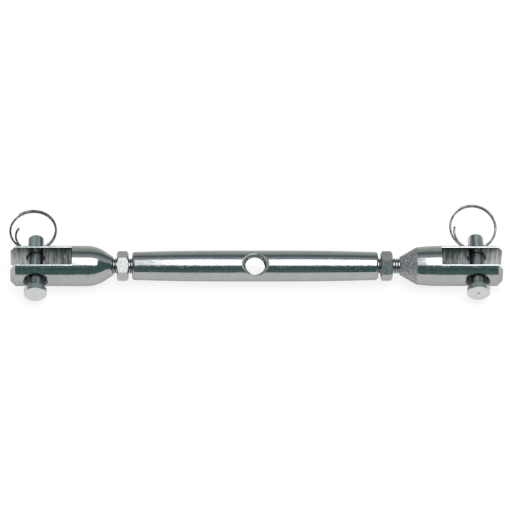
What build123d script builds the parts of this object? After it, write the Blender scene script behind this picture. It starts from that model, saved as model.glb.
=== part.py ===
from build123d import *
import math
import os

# Closed-body rigging turnbuckle with two fixed jaws, M6 thread and 6 mm clevis pins.
# Frame: origin at the centre of the barrel's cross hole, +X along the screw axis,
# clevis pins along Y with their heads on the -Y side, +Z up. All sizes in millimetres.

# Thread and travel
THREAD_D = 6.0
THREAD_CLEARANCE = 0.05

# Barrel: a tube swaged down to the thread at both ends
BARREL_LENGTH = 95.0
BARREL_R = 6.0
BARREL_END_R = 5.4
BARREL_STRAIGHT = 24.0
BARREL_BORE_R = 3.4
BARREL_TAPPED_LENGTH = 13.0
BARREL_SWAGE_LENGTH = 1.5
BARREL_EDGE_R = 0.9
TOMMY_HOLE_R = 3.9
TOMMY_FLARE_R = 5.2
TOMMY_FLARE_DEPTH = 1.8
TOMMY_EDGE_R = 0.35
TOMMY_HOLE_TILT = 30.5

# Jaw: turned bar with a milled slot, measured from the pin's axis
JAW_R = 7.8
JAW_END = 9.7
JAW_NECK = 30.0
JAW_NECK_R = 3.5
JAW_SHOULDER = 23.6
JAW_CHAMFER = 1.9
JAW_SLOT_WIDTH = 8.2
JAW_SLOT_DEPTH = 14.0
JAW_SLOT_EDGE = 0.35
JAW_HOLE_R = 3.3
JAW_HOLE_EDGE = 0.45
JAW_DISH_R = 4.75
JAW_DISH_DEPTH = 1.4
JAW_SOCKET_DEPTH = 10.0

# Lock nut
NUT_ACROSS_FLATS = 10.0
NUT_THICKNESS = 4.5
NUT_EDGE_R = 4.85
NUT_BEVEL = 0.65
NUT_THREAD_BEVEL = 0.4

# Clevis pin, measured from the screw axis
PIN_R = 3.0
PIN_HEAD_R = 4.4
PIN_HEAD_FACE = 14.0
PIN_HEAD_THICKNESS = 2.1
PIN_HEAD_EDGE = 0.25
PIN_TIP = 13.4
PIN_TIP_BEVEL = 0.5
PIN_EYE = 8.5
PIN_EYE_R = 1.25
PIN_CENTRE_MARK_R = 0.45
PIN_CENTRE_MARK_DEPTH = 0.35

# Split ring: a little under two turns of wire, with its inner end sprung inwards
RING_R = 8.85
RING_WIRE_R = 0.4
RING_PITCH = 0.85
RING_OUTER_END = 480.0
RING_STEP = 34.0
RING_SPRUNG_ARC = 130.0
RING_SEAT = 0.45

# Places along the screw axis as assembled, nearly fully closed
JAW_X = {"left": -84.8, "right": 86.0}
NUT_X = {"left": -51.2, "right": 50.85}
NUT_TURN = {"left": 5.0, "right": 15.0}
STUD_INNER_END = 6.5
PIN_SHIFT = {"left": 0.0, "right": 0.5}
RING_RAISE = {"left": 6.0, "right": 19.0}
RING_LEAN = {"left": 8.0, "right": 7.0}
RING_TWIST = {"left": -2.0, "right": 3.0}
RING_INNER_R = {"left": 5.8, "right": 7.0}
RING_INNER_END = {"left": -206.0, "right": -191.0}

# What differs between the two ends: the jaw's shoulder and the mark in the pin's head
SHOULDER_R = {"left": 7.8, "right": 7.2}
SHOULDER_BLEND = {"left": 13.0, "right": 0.8}
CENTRE_MARK = {"left": False, "right": True}


def revolved(points):
    """Solid of revolution about the X axis from its half outline."""
    outline = make_face(Polyline(*points, close=True))
    return revolve(outline, axis=Axis.X)


def ring_edges(part, x, radius):
    """The circular edges of a turned part at one place along X."""
    found = part.edges().filter_by(GeomType.CIRCLE)
    found = found.filter_by(lambda e: abs(e.center().X - x) < 0.01)
    return found.filter_by(lambda e: abs(e.radius - radius) < 0.01)


def barrel_outside():
    """Straight middle with a long gentle swage down to each end."""
    half = BARREL_LENGTH / 2
    middle = BARREL_STRAIGHT / 2
    sides = []
    for way in (-1, 1):
        swage = TangentArc((way * middle, BARREL_R), (way * half, BARREL_END_R), tangent=(way, 0))
        end = Line((way * half, BARREL_END_R), (way * half, 0))
        sides += [swage, end]
    top = Line((-middle, BARREL_R), (middle, BARREL_R))
    base = Line((-half, 0), (half, 0))
    body = revolve(make_face([top, base] + sides), axis=Axis.X)
    ends = ring_edges(body, half, BARREL_END_R) + ring_edges(body, -half, BARREL_END_R)
    return fillet(ends, BARREL_EDGE_R)


def barrel_inside():
    """Tapped ends (drawn at the thread's outside diameter) and the wider middle of the tube."""
    half = BARREL_LENGTH / 2
    tapped_r = THREAD_D / 2 + THREAD_CLEARANCE
    tapped_x = half - BARREL_TAPPED_LENGTH
    wide_x = tapped_x - BARREL_SWAGE_LENGTH
    mouth = NUT_THREAD_BEVEL
    right = [
        (wide_x, BARREL_BORE_R),
        (tapped_x, tapped_r),
        (half - mouth, tapped_r),
        (half, tapped_r + mouth),
    ]
    left = [(-x, r) for x, r in reversed(right)]
    return revolved([(-half, 0)] + left + right + [(half, 0)])


def cross_hole():
    """Cutter for the cross hole, flaring towards the barrel's crown at both ends."""
    start = BARREL_R - TOMMY_FLARE_DEPTH
    slope = (TOMMY_FLARE_R - TOMMY_HOLE_R) / TOMMY_FLARE_DEPTH
    over = 1.0
    one_end = revolved([
        (0, 0),
        (0, TOMMY_HOLE_R),
        (start, TOMMY_HOLE_R),
        (BARREL_R + over, TOMMY_FLARE_R + over * slope),
        (BARREL_R + over, 0),
    ])
    return Rot(Y=90) * one_end + Rot(Y=-90) * one_end


def is_hole_rim(edge):
    """True for the cross hole's edge on the barrel's outside."""
    point = edge @ 0
    on_outside = abs(math.hypot(point.Y, point.Z) - BARREL_R) < 0.01
    return edge.is_closed and on_outside and abs(point.X) < TOMMY_FLARE_R + 0.1


def make_barrel():
    """Tube with the cross hole that takes a tommy bar, its edges rounded by polishing."""
    body = barrel_outside() - cross_hole()
    body = fillet([e for e in body.edges() if is_hole_rim(e)], TOMMY_EDGE_R)
    return Rot(X=TOMMY_HOLE_TILT) * (body - barrel_inside())


def jaw_blank(side):
    """Turned body: bevelled open end, a body that may draw in a little, and a cone down to the neck."""
    shoulder_r = SHOULDER_R[side]
    body_end = (JAW_SLOT_DEPTH, JAW_R)
    shoulder = (JAW_SHOULDER, shoulder_r)
    if shoulder_r < JAW_R:
        body_side = TangentArc(body_end, shoulder, tangent=(1, 0))
    else:
        body_side = Line(body_end, shoulder)
    cone = Polyline(shoulder, (JAW_NECK, JAW_NECK_R), (JAW_NECK, 0))
    open_end = Polyline((JAW_NECK, 0), (-JAW_END, 0), (-JAW_END, JAW_R - JAW_CHAMFER),
                        (JAW_CHAMFER - JAW_END, JAW_R), body_end)
    blank = revolve(make_face([body_side, cone, open_end]), axis=Axis.X)
    return fillet(ring_edges(blank, JAW_SHOULDER, shoulder_r), SHOULDER_BLEND[side])


def jaw_hole_cutter():
    """Pin hole through both ears, dished on the outside and eased on the inside."""
    half_slot = JAW_SLOT_WIDTH / 2
    floor = JAW_R - JAW_DISH_DEPTH
    slope = (JAW_DISH_R - JAW_HOLE_R) / JAW_DISH_DEPTH
    over = 1.0
    outline = [
        (0, 0),
        (0, JAW_HOLE_R + JAW_HOLE_EDGE),
        (half_slot, JAW_HOLE_R + JAW_HOLE_EDGE),
        (half_slot + JAW_HOLE_EDGE, JAW_HOLE_R),
        (floor, JAW_HOLE_R),
        (JAW_R + over, JAW_DISH_R + over * slope),
        (JAW_R + over, 0),
    ]
    one_ear = revolved(outline)
    return Rot(Z=90) * one_ear + Rot(Z=-90) * one_ear


def make_jaw(side):
    """Jaw with its pin axis through the origin and its neck towards +X."""
    slot_length = JAW_END + JAW_SLOT_DEPTH
    slot_middle = (JAW_SLOT_DEPTH - JAW_END) / 2
    slot = Pos(slot_middle, 0, 0) * Box(slot_length, JAW_SLOT_WIDTH, 3 * JAW_R)
    body = jaw_blank(side) - slot
    long_edges = [e for e in body.edges().filter_by(Axis.X) if e.length > JAW_SLOT_DEPTH]
    body = fillet(long_edges, JAW_SLOT_EDGE)
    socket_r = THREAD_D / 2 + THREAD_CLEARANCE
    socket = Pos(JAW_NECK - JAW_SOCKET_DEPTH / 2, 0, 0) * Rot(Y=90) * Cylinder(socket_r, JAW_SOCKET_DEPTH)
    return body - socket - jaw_hole_cutter()


def make_stud(side):
    """Threaded stud drawn at its outside diameter, from the jaw's socket to inside the barrel."""
    bevel = 0.6
    r = THREAD_D / 2
    way = math.copysign(1, JAW_X[side])
    root = JAW_X[side] - way * (JAW_NECK - JAW_SOCKET_DEPTH)
    tip = way * STUD_INNER_END
    outline = [
        (root, 0),
        (root, r - bevel),
        (root - way * bevel, r),
        (tip + way * bevel, r),
        (tip, r - bevel),
        (tip, 0),
    ]
    return revolved(outline)


def make_lock_nut():
    """Hexagon nut bevelled on both faces, lying along X with a flat facing +Z."""
    half = NUT_THICKNESS / 2
    hexagon = RegularPolygon(NUT_ACROSS_FLATS / 2, 6, major_radius=False, rotation=30)
    prism = Rot(Y=90) * Pos(0, 0, -half) * extrude(hexagon, NUT_THICKNESS)
    corner = NUT_ACROSS_FLATS / math.sqrt(3)
    slope = NUT_BEVEL / (corner - NUT_EDGE_R)
    over = 1.0
    waist = half - NUT_BEVEL
    wide = corner + over
    turned = revolved([
        (-half, 0),
        (-half, NUT_EDGE_R),
        (-waist + over * slope, wide),
        (waist - over * slope, wide),
        (half, NUT_EDGE_R),
        (half, 0),
    ])
    bore_r = THREAD_D / 2 + THREAD_CLEARANCE
    bore = revolved([
        (-half, 0),
        (-half, bore_r + NUT_THREAD_BEVEL),
        (NUT_THREAD_BEVEL - half, bore_r),
        (half - NUT_THREAD_BEVEL, bore_r),
        (half, bore_r + NUT_THREAD_BEVEL),
        (half, 0),
    ])
    return (prism & turned) - bore


def make_clevis_pin(side):
    """Headed pin with its axis along Y, a bevelled tip and a cross hole for the split ring."""
    head = PIN_HEAD_FACE
    under = head - PIN_HEAD_THICKNESS
    outline = [
        (-head, 0),
        (-head, PIN_HEAD_R - PIN_HEAD_EDGE),
        (PIN_HEAD_EDGE - head, PIN_HEAD_R),
        (-under, PIN_HEAD_R),
        (-under, PIN_R),
        (PIN_TIP - PIN_TIP_BEVEL, PIN_R),
        (PIN_TIP, PIN_R - PIN_TIP_BEVEL),
        (PIN_TIP, 0),
    ]
    body = Rot(Z=90) * revolved(outline)
    body -= Pos(0, PIN_EYE, 0) * Rot(Y=90) * Cylinder(PIN_EYE_R, 3 * PIN_R)
    if CENTRE_MARK[side]:
        mark = Cone(PIN_CENTRE_MARK_R, 0.05, PIN_CENTRE_MARK_DEPTH)
        body -= Pos(0, PIN_CENTRE_MARK_DEPTH / 2 - head, 0) * Rot(X=-90) * mark
    return Pos(JAW_X[side], PIN_SHIFT[side], 0) * body


def ring_point(angle, side):
    """Wire's centre in the ring's own frame, where the pin's cross hole is below the centre."""
    sprung = min(1.0, (angle - RING_INNER_END[side]) / RING_SPRUNG_ARC)
    ease = math.sin(sprung * math.pi / 2)
    radius = RING_INNER_R[side] + (RING_R - RING_INNER_R[side]) * ease
    turned = math.radians(angle)
    along = RING_PITCH * (angle - 90) / 360
    return Vector(radius * math.cos(turned), radius * math.sin(turned), along)


def make_split_ring(side):
    """Wire ring through the pin's cross hole, leaning and raised as it hangs on the pin."""
    inner_end = RING_INNER_END[side]
    count = round((RING_OUTER_END - inner_end) / RING_STEP)
    step = (RING_OUTER_END - inner_end) / count
    points = [ring_point(inner_end + step * i, side) for i in range(count + 1)]
    path = Spline(*points)
    start = Plane(origin=path @ 0, z_dir=path % 0)
    wire = sweep(start * Circle(RING_WIRE_R), path=path)
    hung = Rot(Y=RING_TWIST[side]) * Rot(Z=RING_LEAN[side]) * Pos(0, RING_R - RING_SEAT, 0) * wire
    return Pos(JAW_X[side], PIN_EYE + PIN_SHIFT[side], 0) * Rot(X=RING_RAISE[side]) * hung


def make_parts():
    """Every piece in its place, by node name."""
    parts = {"barrel": make_barrel()}
    for side in ("left", "right"):
        turned_round = Rot(Z=0 if side == "left" else 180)
        parts[f"jaw_{side}"] = Pos(JAW_X[side], 0, 0) * turned_round * make_jaw(side)
        parts[f"stud_{side}"] = make_stud(side)
        parts[f"lock_nut_{side}"] = Pos(NUT_X[side], 0, 0) * Rot(X=30 + NUT_TURN[side]) * make_lock_nut()
        parts[f"clevis_pin_{side}"] = make_clevis_pin(side)
        parts[f"split_ring_{side}"] = make_split_ring(side)
    return parts


os.makedirs("parts", exist_ok=True)
for name, part in make_parts().items():
    export_step(part, f"parts/{name}.step")
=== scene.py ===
import math

import bmesh
import bpy
from mathutils import Matrix, Vector


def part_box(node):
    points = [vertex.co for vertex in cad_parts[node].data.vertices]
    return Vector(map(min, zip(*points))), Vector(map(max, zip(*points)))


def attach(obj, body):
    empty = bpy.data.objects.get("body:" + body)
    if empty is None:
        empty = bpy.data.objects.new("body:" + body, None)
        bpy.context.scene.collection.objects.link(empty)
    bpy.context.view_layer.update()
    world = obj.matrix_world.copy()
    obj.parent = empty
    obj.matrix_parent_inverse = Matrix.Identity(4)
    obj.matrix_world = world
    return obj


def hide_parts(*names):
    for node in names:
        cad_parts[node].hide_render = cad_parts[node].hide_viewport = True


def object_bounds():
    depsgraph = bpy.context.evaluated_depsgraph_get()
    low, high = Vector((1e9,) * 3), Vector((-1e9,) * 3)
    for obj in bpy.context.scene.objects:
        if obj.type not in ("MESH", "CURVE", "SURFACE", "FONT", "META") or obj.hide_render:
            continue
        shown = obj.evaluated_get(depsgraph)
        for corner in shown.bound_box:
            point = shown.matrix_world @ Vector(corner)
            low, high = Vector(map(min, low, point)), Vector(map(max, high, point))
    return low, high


# Closed-body rigging turnbuckle in polished stainless steel. Metres, +X along the screw axis.
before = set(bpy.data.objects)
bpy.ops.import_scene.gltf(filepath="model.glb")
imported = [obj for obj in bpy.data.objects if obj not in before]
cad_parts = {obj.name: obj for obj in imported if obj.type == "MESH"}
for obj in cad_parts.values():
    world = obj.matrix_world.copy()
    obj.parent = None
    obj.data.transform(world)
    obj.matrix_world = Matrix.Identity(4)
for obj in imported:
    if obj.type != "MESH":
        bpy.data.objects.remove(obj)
CAD_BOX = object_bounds()
MM = 0.001
SIDES = ("left", "right")

# Thread: right-hand at the left end, left-hand at the right end
THREAD_HAND = {"left": 1, "right": -1}
PITCH = 1.0 * MM
THREAD_MAJOR_R = 2.99 * MM
THREAD_MINOR_R = 2.42 * MM
THREAD_AROUND = 48
THREAD_STEPS_PER_PITCH = 12
THREAD_CREST = 0.22
THREAD_ROOT_START = 0.46
THREAD_TIP_BEVEL = 0.6 * MM

# Camera: elevation, turn towards -X, distance, width of the view at the object, and how far to the
# right of the origin and above it the view's middle lies
VIEW_ELEVATION = math.radians(51.0)
VIEW_TURN = math.radians(2.6)
VIEW_DISTANCE = 1.8
VIEW_WIDTH = 197.29 * MM
VIEW_MIDDLE = (-0.04 * MM, 4.255 * MM)
SENSOR_MM = 36.0
CLIP_END = 20.0

# Studio: a softbox above and to the right, a reflector board on its left, and a lit table under the object
SOFTBOX_RADIANCE = 3.6
SOFTBOX_DISTANCE = 2.0
SOFTBOX_ELEVATION = math.radians(78.0)
SOFTBOX_SIZE = (1.5, 1.58)
SOFTBOX_LEFT_EDGE = -0.107
REFLECTOR_RADIANCE = 1.0
REFLECTOR_WIDTH = 0.7
REFLECTOR_COLOUR = (0.90, 0.98, 1.0)
FILL_RADIANCE = 1.3
FILL_ELEVATION = math.radians(90.0)
FILL_DISTANCE = 1.6
FILL_SIZE = (1.6, 1.6)
FLOOR_SIDE = 6.0
FLOOR_COLOUR = (0.17, 0.17, 0.17, 1.0)
FLOOR_GLOW = 0.83
FLOOR_ROUGHNESS = 0.9
FLOOR_SHINE = 0.1

# Room: colours, and where one blends into the next along a direction's own Y or Z
ROOM_BEHIND_CAMERA_DARK = (0.05, 0.125, 0.12, 1.0)
ROOM_BEHIND_CAMERA_LIGHT = (0.16, 0.265, 0.26, 1.0)
ROOM_CLUTTER_SCALE = 12.0
ROOM_CLUTTER_BLEND = (0.35, 0.65)
ROOM_CEILING = (0.30, 0.32, 0.38, 1.0)
ROOM_CEILING_BLEND = (0.72, 0.80)
ROOM_BACK_BLEND = (0.02, 0.12)
ROOM_BACK_COLOURS = (
    (0.10, (0.62, 0.64, 0.72, 1.0)),
    (0.42, (0.44, 0.50, 0.56, 1.0)),
    (0.62, (0.17, 0.22, 0.22, 1.0)),
    (0.74, (0.15, 0.20, 0.19, 1.0)),
    (0.88, (0.48, 0.55, 0.52, 1.0)),
    (1.00, (0.64, 0.70, 0.67, 1.0)),
)

# Jaw, measured from its open end and from the screw axis
SLOT_HALF_WIDTH = 4.12 * MM
SLOT_LENGTH = 23.75 * MM
SLOT_EDGE = 0.55 * MM
# where the painted light and shade on the slot's walls changes
SLOT_SHADE_MARGIN = 2.0 * MM
SLOT_SHADE_HIGH = 6.5 * MM
SLOT_SHADE_LOW = -2.5 * MM
CONE_LENGTH = 6.5 * MM
CONE_ROUGHNESS = {"left": 0.12, "right": 0.62}
CONE_GRIT = 0.016 * MM
MILLED_LINE_DEPTH = 0.006 * MM
JAW_R = 7.8 * MM
HOLE_MASK_R = 3.76 * MM
DISH_FLOOR = 6.4 * MM
DISH_MASK_R = 4.78 * MM

# Clevis pin
FACE_DEPTH = 0.1 * MM
FACE_RING_PITCH = 0.16 * MM
FACE_RING_DEPTH = 0.0009 * MM
SHANK_MASK_R = 3.06 * MM

# Barrel's cross hole, tilted away from +Z towards the -Y side
CROSS_HOLE_TILT = math.radians(30.5)
CROSS_HOLE_WALL_R = 3.93 * MM
CROSS_HOLE_FLARE_R = 5.3 * MM
CROSS_HOLE_FLARE_TOP = 6.0 * MM
# painted shade in a ring at the flare's foot, then the flare's painted highlight
CROSS_HOLE_PAINTED_SHADE_RING = 0.3 * MM
CROSS_HOLE_FLARE_FOOT = 4.2 * MM

FLARE_ROUGHNESS = 0.43
DRILLED_ROUGHNESS = 0.35
HEAD_ROUGHNESS = 0.30
THREAD_ROOT_ROUGHNESS = 0.42
THREAD_CREST_ROUGHNESS = 0.16

STEEL = (0.395, 0.405, 0.395, 1.0)
# darker steel for the handling clouds and for the painted shade in creases
STEEL_DARK = (0.22, 0.23, 0.225, 1.0)
EDGE_TINT = (0.65, 0.65, 0.65, 1.0)
# painted highlight on the cross hole's flare
FLARE_PAINTED_HIGHLIGHT = (0.93, 0.94, 0.93, 1.0)
HEAD_STEEL = (0.60, 0.61, 0.60, 1.0)
# painted highlight along the slot's edges
SLOT_EDGE_PAINTED_HIGHLIGHT = (0.90, 0.91, 0.91, 1.0)
# lit and shaded steel: painted light and shade on the slot's walls
SLOT_PAINTED_LIT = (0.52, 0.52, 0.53, 1.0)
SLOT_PAINTED_SHADE = (0.05, 0.075, 0.07, 1.0)
# painted shade in the pin holes, their dishes and the cross hole's wall
RECESS_PAINTED_SHADE = (0.10, 0.105, 0.10, 1.0)
NUT_STEEL = (0.45, 0.445, 0.44, 1.0)
CONE_LIGHT = (0.58, 0.57, 0.57, 1.0)
CONE_DARK = (0.22, 0.22, 0.22, 1.0)
SHANK_LIGHT = (0.74, 0.75, 0.74, 1.0)
SHANK_DARK = (0.20, 0.215, 0.21, 1.0)
WIRE_STEEL = (0.30, 0.29, 0.28, 1.0)
WIRE_DARK = (0.08, 0.08, 0.08, 1.0)
# painted shade in the thread's roots
THREAD_ROOT_PAINTED_SHADE = (0.30, 0.30, 0.30, 1.0)


# ---------------------------------------------------------------- node helpers

class Nodes:
    """Short calls for adding linked shader nodes to one material or world."""

    def __init__(self, owner, output_kind):
        owner.use_nodes = True
        self.owner = owner
        self.tree = owner.node_tree
        self.tree.nodes.clear()
        self.output = self.tree.nodes.new(output_kind)

    def add(self, kind, inputs=None, **settings):
        node = self.tree.nodes.new(kind)
        for key, value in settings.items():
            setattr(node, key, value)
        for key, value in (inputs or {}).items():
            self.feed(node.inputs[key], value)
        return node

    def feed(self, socket, value):
        if isinstance(value, bpy.types.NodeSocket):
            self.tree.links.new(value, socket)
        else:
            socket.default_value = value

    def math(self, operation, a, b=0.0):
        node = self.add("ShaderNodeMath", {0: a, 1: b}, operation=operation)
        return node.outputs[0]

    def place(self):
        return self.add("ShaderNodeTexCoord").outputs["Object"]

    def noise(self, scale, detail=3.0, roughness=0.55, distortion=0.0):
        """Noise whose scale per axis is in cycles per metre."""
        mapped = self.add("ShaderNodeMapping", {"Vector": self.place(), "Scale": scale})
        node = self.add("ShaderNodeTexNoise", {
            "Vector": mapped.outputs[0], "Scale": 1.0, "Detail": detail,
            "Roughness": roughness, "Distortion": distortion,
        })
        return node.outputs["Fac"]

    def remap(self, value, low, high, out_low, out_high):
        node = self.add("ShaderNodeMapRange", {
            "Value": value, "From Min": low, "From Max": high, "To Min": out_low, "To Max": out_high,
        })
        return node.outputs["Result"]

    def ease(self, value, blend):
        """0 to 1 with soft ends between blend's two values."""
        inputs = {"Value": value, "From Min": blend[0], "From Max": blend[1]}
        node = self.add("ShaderNodeMapRange", inputs, interpolation_type="SMOOTHSTEP")
        return node.outputs["Result"]

    def mix(self, factor, a, b):
        node = self.add("ShaderNodeMix", data_type="RGBA")
        self.feed(node.inputs["Factor"], factor)
        self.feed(node.inputs["A"], a)
        self.feed(node.inputs["B"], b)
        return node.outputs["Result"]

    def blend(self, factor, a, b):
        """Straight-line blend of two plain values."""
        node = self.add("ShaderNodeMix", data_type="FLOAT")
        self.feed(node.inputs["Factor"], factor)
        self.feed(node.inputs["A"], a)
        self.feed(node.inputs["B"], b)
        return node.outputs["Result"]

    def bump(self, height, depth, normal=None):
        """Bump whose full height is depth metres."""
        inputs = {"Height": height, "Distance": depth, "Strength": 1.0}
        if normal is not None:
            inputs["Normal"] = normal
        return self.add("ShaderNodeBump", inputs).outputs["Normal"]

    def steel(self, colour, roughness, normal):
        inputs = {"Base Color": colour, "Roughness": roughness, "Normal": normal}
        shader = self.add("ShaderNodeBsdfPrincipled", inputs)
        shader.inputs["Metallic"].default_value = 1.0
        shader.inputs["Specular Tint"].default_value = EDGE_TINT
        self.feed(self.output.inputs["Surface"], shader.outputs[0])
        return self.owner


def material_nodes(name):
    """Helper for a new, empty material."""
    return Nodes(bpy.data.materials.new(name), "ShaderNodeOutputMaterial")


def worn_and_crease_shade_colour(n, light=STEEL, dark=STEEL_DARK):
    """Steel with faint clouds of handling, and painted shade that darkens it a little in its creases."""
    clouds = n.remap(n.noise((180, 180, 180), 4.0), 0.40, 0.80, 0.0, 0.30)
    # painted shade in creases
    crease_shade = n.remap(n.add("ShaderNodeNewGeometry").outputs["Pointiness"], 0.49, 0.42, 0.0, 0.8)
    return n.mix(n.math("MAXIMUM", clouds, crease_shade), light, dark)


def mopped_normal(n, under=None):
    """Soft ripples left by the polishing mop, with finer ones on top."""
    ripple = n.bump(n.noise((330, 650, 650), 5.0, 0.65), 0.008 * MM, under)
    return n.bump(n.noise((1500, 2200, 2200), 3.0), 0.0012 * MM, ripple)


def polish_roughness(n):
    """Smooth streaks along the piece, with fine pits that the polish left behind."""
    streaks = n.remap(n.noise((900, 160, 160), 5.0), 0.3, 0.75, 0.05, 0.13)
    pits = n.remap(n.noise((750, 1300, 1300), 3.0, 0.7), 0.50, 0.68, 0.0, 0.24)
    return n.math("ADD", streaks, pits)


def distance_from(n, a, b):
    """Distance from the axis where both offsets a and b are zero."""
    return n.math("SQRT", n.math("ADD", n.math("MULTIPLY", a, a), n.math("MULTIPLY", b, b)))


def barrel_steel():
    """Bright polish with painted shade in creases; satin on the cross hole's flare with a painted highlight
    on it, and painted shade on its drilled wall and in a ring at the flare's foot.
    """
    n = material_nodes("polished_barrel_steel")
    untilt = {"Vector": n.place(), "Angle": -CROSS_HOLE_TILT}
    turned = n.add("ShaderNodeVectorRotate", untilt, rotation_type="X_AXIS")
    place = n.add("ShaderNodeSeparateXYZ", {0: turned.outputs[0]})
    radius = distance_from(n, place.outputs["X"], place.outputs["Y"])
    height = n.math("ABSOLUTE", place.outputs["Z"])
    edge = n.remap(height, CROSS_HOLE_FLARE_FOOT, CROSS_HOLE_FLARE_TOP, CROSS_HOLE_WALL_R, CROSS_HOLE_FLARE_R)
    flare = n.math("LESS_THAN", radius, edge)
    # painted shade in a ring at the wall's edge, rising to the painted highlight on the flare
    painted_highlight_share = n.remap(radius, CROSS_HOLE_WALL_R, CROSS_HOLE_WALL_R + CROSS_HOLE_PAINTED_SHADE_RING, 0.0, 1.0)
    roughness = n.blend(flare, polish_roughness(n), FLARE_ROUGHNESS)
    colour = n.mix(flare, worn_and_crease_shade_colour(n), n.mix(painted_highlight_share, RECESS_PAINTED_SHADE, FLARE_PAINTED_HIGHLIGHT))
    return n.steel(colour, roughness, mopped_normal(n))


def between(n, value, low, high):
    """1 where value lies between low and high, else 0."""
    above = n.math("GREATER_THAN", value, low)
    return n.math("MULTIPLY", above, n.math("LESS_THAN", value, high))


def jaw_pin_x(side):
    """Where the clevis pin's axis crosses the screw axis."""
    low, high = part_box(f"clevis_pin_{side}")
    return (low.x + high.x) / 2


def drilled_and_shaded_mask(n, pin_x, x, z, across):
    """1 on the pin hole's walls, the dish around it outside and its eased edge inside: where the painted
    shade and the rougher drilled finish go.
    """
    radius = distance_from(n, n.math("SUBTRACT", x, pin_x), z)
    wall = n.math("LESS_THAN", radius, HOLE_MASK_R)
    dish = n.math("LESS_THAN", radius, n.remap(across, DISH_FLOOR, JAW_R, HOLE_MASK_R, DISH_MASK_R))
    return n.math("MAXIMUM", wall, dish)


def slot_finish_and_shade(n, along, height, closed_end, open_end):
    """Colour and roughness of the milled slot: streaked, with painted shade and light that is lighter low
    down and near the open end.
    """
    streaks = n.noise((1300, 400, 110), 6.0, 0.75, 0.4)
    # painted light and shade: darker towards the closed end and high up
    outward = n.remap(along, closed_end + SLOT_SHADE_MARGIN, open_end - SLOT_SHADE_MARGIN, -0.30, 0.45)
    downward = n.remap(height, SLOT_SHADE_HIGH, SLOT_SHADE_LOW, 0.0, 0.6)
    patchy = n.remap(streaks, 0.35, 0.70, -0.50, 0.80)
    lightness = n.math("ADD", n.math("ADD", outward, downward), patchy)
    colour = n.mix(n.remap(lightness, 0.05, 1.5, 0.0, 1.0), SLOT_PAINTED_SHADE, SLOT_PAINTED_LIT)
    return colour, n.remap(streaks, 0.3, 0.7, 0.30, 0.14)


def cone_colour(n):
    """Light and dark grit where the polish missed."""
    speckle = n.remap(n.noise((2000, 2000, 2000), 3.0, 0.75), 0.42, 0.58, 0.0, 1.0)
    return n.mix(speckle, CONE_DARK, CONE_LIGHT)


def jaw_steel(side):
    """Polished body with painted shade in creases; milled slot with painted light and shade and a painted
    highlight along its edges; painted shade in the pin hole and its dish; and a turned cone that missed some
    of the polish.
    """
    n = material_nodes(f"polished_jaw_steel_{side}")
    cone_roughness = CONE_ROUGHNESS[side]
    low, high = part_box(f"jaw_{side}")
    open_end = max(abs(low.x), abs(high.x))
    neck = min(abs(low.x), abs(high.x))
    closed_end = open_end - SLOT_LENGTH
    place = n.add("ShaderNodeSeparateXYZ", {0: n.place()})
    along = n.math("ABSOLUTE", place.outputs["X"])
    across = n.math("ABSOLUTE", place.outputs["Y"])

    in_slot_length = n.math("GREATER_THAN", along, closed_end)
    milled = n.math("MULTIPLY", in_slot_length, n.math("LESS_THAN", across, SLOT_HALF_WIDTH))
    beside_slot = between(n, across, SLOT_HALF_WIDTH, SLOT_HALF_WIDTH + SLOT_EDGE)
    eased = n.math("MULTIPLY", in_slot_length, beside_slot)
    cone = between(n, along, neck - MM, neck + CONE_LENGTH)
    drilled = drilled_and_shaded_mask(n, jaw_pin_x(side), place.outputs["X"], place.outputs["Z"], across)
    slot_colour, slot_roughness = slot_finish_and_shade(n, along, place.outputs["Z"], closed_end, open_end)

    satin = n.math("MULTIPLY", cone, min(1.0, cone_roughness * 2))
    colour = n.mix(satin, worn_and_crease_shade_colour(n), cone_colour(n))
    # painted highlight along the slot's edges
    colour = n.mix(eased, colour, SLOT_EDGE_PAINTED_HIGHLIGHT)
    colour = n.mix(milled, colour, slot_colour)
    # painted shade in the pin hole and its dish
    colour = n.mix(drilled, colour, RECESS_PAINTED_SHADE)
    roughness = n.blend(cone, polish_roughness(n), cone_roughness)
    roughness = n.blend(milled, roughness, slot_roughness)
    roughness = n.blend(drilled, roughness, DRILLED_ROUGHNESS)
    milled_lines = n.bump(n.noise((7000, 400, 60), 3.0), n.math("MULTIPLY", milled, MILLED_LINE_DEPTH))
    grit_depth = n.math("MULTIPLY", cone, cone_roughness * CONE_GRIT)
    grit = n.bump(n.noise((4200, 4200, 4200), 2.0), grit_depth, milled_lines)
    return n.steel(colour, roughness, mopped_normal(n, grit))


def nut_steel():
    """Satin hexagon with fine grain and small nicks."""
    n = material_nodes("nut_steel")
    nicks = n.noise((2600, 2600, 2600), 4.0, 0.7)
    # handling clouds, and painted shade in the creases
    colour = worn_and_crease_shade_colour(n, NUT_STEEL, STEEL_DARK)
    roughness = n.remap(n.noise((1400, 1400, 1400), 4.0), 0.3, 0.7, 0.20, 0.40)
    return n.steel(colour, roughness, n.bump(nicks, 0.006 * MM))


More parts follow.
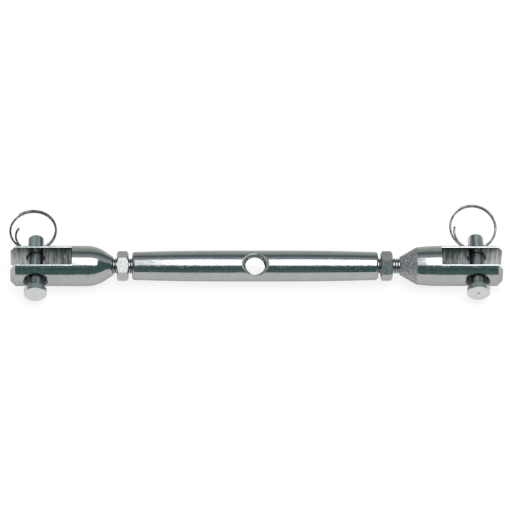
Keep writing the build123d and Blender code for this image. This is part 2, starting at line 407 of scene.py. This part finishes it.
def pin_steel(side):
    """Drawn shank, and a turned head and tip with fine rings around their middle."""
    n = material_nodes(f"pin_steel_{side}")
    place = n.add("ShaderNodeSeparateXYZ", {0: n.place()})
    radius = distance_from(n, n.math("SUBTRACT", place.outputs["X"], jaw_pin_x(side)), place.outputs["Z"])
    low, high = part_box(f"clevis_pin_{side}")
    face = n.math("LESS_THAN", place.outputs["Y"], low.y + FACE_DEPTH)
    face = n.math("MAXIMUM", face, n.math("GREATER_THAN", place.outputs["Y"], high.y - FACE_DEPTH))
    turned = n.math("MAXIMUM", face, n.math("GREATER_THAN", radius, SHANK_MASK_R))
    rings = n.math("SINE", n.math("MULTIPLY", radius, 2 * math.pi / FACE_RING_PITCH))
    draws = n.remap(n.noise((650, 40, 650), 3.0), 0.36, 0.62, 0.0, 1.0)
    shank = n.mix(draws, SHANK_DARK, SHANK_LIGHT)
    colour = n.mix(turned, shank, HEAD_STEEL)
    satin = n.remap(n.noise((300, 2500, 300), 4.0), 0.3, 0.7, 0.26, 0.40)
    roughness = n.blend(turned, satin, HEAD_ROUGHNESS)
    ringed = n.bump(rings, n.math("MULTIPLY", face, FACE_RING_DEPTH))
    return n.steel(colour, roughness, n.bump(n.noise((500, 5000, 500), 3.0), 0.002 * MM, ringed))


def wire_steel():
    """Drawn spring wire, darker and less even than the polished bar."""
    n = material_nodes("ring_wire_steel")
    patches = n.remap(n.noise((700, 700, 700), 4.0), 0.35, 0.65, 0.0, 1.0)
    roughness = n.remap(n.noise((1500, 1500, 1500), 3.0), 0.3, 0.7, 0.16, 0.34)
    normal = n.bump(n.noise((3000, 3000, 3000), 3.0), 0.004 * MM)
    return n.steel(n.mix(patches, WIRE_DARK, WIRE_STEEL), roughness, normal)


def thread_steel():
    """Cut thread: worn crests in plain steel, and painted shade darkening the roots."""
    n = material_nodes("thread_steel")
    place = n.add("ShaderNodeSeparateXYZ", {0: n.place()})
    radius = distance_from(n, place.outputs["Y"], place.outputs["Z"])
    # painted shade from the roots up to the crests
    crest = n.remap(radius, THREAD_MINOR_R + 0.1 * MM, THREAD_MAJOR_R - 0.1 * MM, 0.0, 1.0)
    normal = n.bump(n.noise((5000, 2000, 2000), 3.0), 0.004 * MM)
    roughness = n.blend(crest, THREAD_ROOT_ROUGHNESS, THREAD_CREST_ROUGHNESS)
    return n.steel(n.mix(crest, THREAD_ROOT_PAINTED_SHADE, STEEL), roughness, normal)


def assign(name, material):
    """Give a CAD node one material."""
    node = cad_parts[name]
    node.data.materials.clear()
    node.data.materials.append(material)


# ---------------------------------------------------------------- threads

def thread_radius(phase):
    """Radius across one pitch, from the middle of the crest at phase 0 to that of the root at 0.5."""
    away = abs(phase - round(phase))
    share = min(1.0, max(0.0, (away - THREAD_CREST) / (THREAD_ROOT_START - THREAD_CREST)))
    return THREAD_MAJOR_R + (THREAD_MINOR_R - THREAD_MAJOR_R) * share


def thread_ring(x, from_end, hand):
    """Points around the thread at x, cut back by the bevel near the stud's ends."""
    limit = THREAD_MAJOR_R - max(0.0, THREAD_TIP_BEVEL - from_end)
    points = []
    for j in range(THREAD_AROUND):
        turn = j / THREAD_AROUND
        radius = min(limit, thread_radius(x / PITCH - hand * turn))
        angle = 2 * math.pi * turn
        points.append((x, radius * math.cos(angle), radius * math.sin(angle)))
    return points


def make_thread(side):
    """Helical thread in place of the plain stud."""
    low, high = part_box(f"stud_{side}")
    count = round((high.x - low.x) / PITCH * THREAD_STEPS_PER_PITCH)
    mesh = bmesh.new()
    rings = []
    for i in range(count + 1):
        x = low.x + (high.x - low.x) * i / count
        points = thread_ring(x, min(x - low.x, high.x - x), THREAD_HAND[side])
        rings.append([mesh.verts.new(point) for point in points])
    for near, far in zip(rings, rings[1:]):
        for j in range(THREAD_AROUND):
            k = (j + 1) % THREAD_AROUND
            mesh.faces.new((near[j], near[k], far[k], far[j]))
    mesh.faces.new(reversed(rings[0]))
    mesh.faces.new(rings[-1])
    bmesh.ops.recalc_face_normals(mesh, faces=mesh.faces)
    data = bpy.data.meshes.new(f"thread_{side}")
    mesh.to_mesh(data)
    mesh.free()
    for face in data.polygons:
        face.use_smooth = len(face.vertices) == 4
    thread = bpy.data.objects.new(f"thread_{side}", data)
    bpy.context.scene.collection.objects.link(thread)
    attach(thread, f"stud_{side}")
    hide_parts(f"stud_{side}")
    return thread


# ---------------------------------------------------------------- studio

def make_floor():
    """Pale floor that the jaws lie on."""
    half = FLOOR_SIDE / 2
    level = CAD_BOX[0][2]
    data = bpy.data.meshes.new("floor")
    corners = [(-half, -half, level), (half, -half, level), (half, half, level), (-half, half, level)]
    data.from_pydata(corners, [], [(0, 1, 2, 3)])
    floor = bpy.data.objects.new("floor", data)
    bpy.context.scene.collection.objects.link(floor)
    paint = bpy.data.materials.new("pale_floor")
    paint.use_nodes = True
    shader = paint.node_tree.nodes["Principled BSDF"]
    shader.inputs["Base Color"].default_value = FLOOR_COLOUR
    shader.inputs["Roughness"].default_value = FLOOR_ROUGHNESS
    shader.inputs["Specular IOR Level"].default_value = FLOOR_SHINE
    shader.inputs["Emission Color"].default_value = (1.0, 1.0, 1.0, 1.0)
    shader.inputs["Emission Strength"].default_value = FLOOR_GLOW
    data.materials.append(paint)


def area_light(name, elevation, distance, size, radiance, aside=0.0):
    """Rectangular softbox facing the origin, then moved aside along +X. Elevation is from the -Y side."""
    back = Vector((0, -math.cos(elevation), math.sin(elevation)))
    right = Vector((1, 0, 0))
    up = back.cross(right)
    light = bpy.data.lights.new(name, "AREA")
    light.shape = "RECTANGLE"
    light.size, light.size_y = size
    light.energy = radiance * math.pi * size[0] * size[1]
    lamp = bpy.data.objects.new(name, light)
    turned = Matrix((right, up, back)).transposed().to_4x4()
    lamp.matrix_world = Matrix.Translation(back * distance + right * aside) @ turned
    bpy.context.scene.collection.objects.link(lamp)
    return lamp


def make_lights():
    """The softbox and the reflector board beside it, and a fill that only the table takes."""
    aside = SOFTBOX_LEFT_EDGE + SOFTBOX_SIZE[0] / 2
    area_light("softbox", SOFTBOX_ELEVATION, SOFTBOX_DISTANCE, SOFTBOX_SIZE, SOFTBOX_RADIANCE, aside)
    aside = SOFTBOX_LEFT_EDGE - REFLECTOR_WIDTH / 2
    size = (REFLECTOR_WIDTH, SOFTBOX_SIZE[1])
    reflector = area_light("reflector", SOFTBOX_ELEVATION, SOFTBOX_DISTANCE, size, REFLECTOR_RADIANCE, aside)
    reflector.data.color = REFLECTOR_COLOUR
    fill = area_light("table_fill", FILL_ELEVATION, FILL_DISTANCE, FILL_SIZE, FILL_RADIANCE)
    fill.visible_glossy = False


def make_room():
    """Dim room: dark behind the camera, grey overhead and behind the object."""
    world = bpy.data.worlds.new("room")
    bpy.context.scene.world = world
    n = Nodes(world, "ShaderNodeOutputWorld")
    direction = n.add("ShaderNodeTexCoord").outputs["Generated"]
    axes = n.add("ShaderNodeSeparateXYZ", {0: direction})
    clutter = n.add("ShaderNodeTexNoise", {"Vector": direction, "Scale": ROOM_CLUTTER_SCALE})
    clutter_share = n.ease(clutter.outputs["Fac"], ROOM_CLUTTER_BLEND)
    behind = n.mix(clutter_share, ROOM_BEHIND_CAMERA_DARK, ROOM_BEHIND_CAMERA_LIGHT)
    ramp = n.add("ShaderNodeValToRGB", {"Fac": axes.outputs["Y"]})
    for place, colour in ROOM_BACK_COLOURS[1:-1]:
        ramp.color_ramp.elements.new(place)
    for element, (place, colour) in zip(ramp.color_ramp.elements, ROOM_BACK_COLOURS):
        element.position = place
        element.color = colour
    front = n.mix(n.ease(axes.outputs["Z"], ROOM_CEILING_BLEND), behind, ROOM_CEILING)
    colour = n.mix(n.ease(axes.outputs["Y"], ROOM_BACK_BLEND), front, ramp.outputs["Color"])
    background = n.add("ShaderNodeBackground", {"Color": colour})
    n.feed(n.output.inputs["Surface"], background.outputs[0])


def make_camera():
    """Long lens from above the -Y side, rolled so that the screw axis lies level."""
    flat = math.cos(VIEW_ELEVATION)
    back = Vector((-flat * math.sin(VIEW_TURN), -flat * math.cos(VIEW_TURN), math.sin(VIEW_ELEVATION)))
    right = (Vector((1, 0, 0)) - back * back.x).normalized()
    up = back.cross(right)
    aside, above = VIEW_MIDDLE
    place = back * VIEW_DISTANCE + right * aside + up * above
    data = bpy.data.cameras.new("camera")
    data.sensor_width = SENSOR_MM
    data.lens = SENSOR_MM * VIEW_DISTANCE / VIEW_WIDTH
    data.clip_end = CLIP_END
    camera = bpy.data.objects.new("camera", data)
    camera.matrix_world = Matrix.Translation(place) @ Matrix((right, up, back)).transposed().to_4x4()
    bpy.context.scene.collection.objects.link(camera)
    bpy.context.scene.camera = camera


# ---------------------------------------------------------------- assembly

nut_finish = nut_steel()
wire_finish = wire_steel()
thread_finish = thread_steel()
assign("barrel", barrel_steel())
for side in SIDES:
    assign(f"jaw_{side}", jaw_steel(side))
    assign(f"lock_nut_{side}", nut_finish)
    assign(f"clevis_pin_{side}", pin_steel(side))
    assign(f"split_ring_{side}", wire_finish)
    make_thread(side).data.materials.append(thread_finish)

make_floor()
make_room()
make_lights()
make_camera()
bpy.context.scene.view_settings.view_transform = "Standard"

bpy.context.view_layer.update()
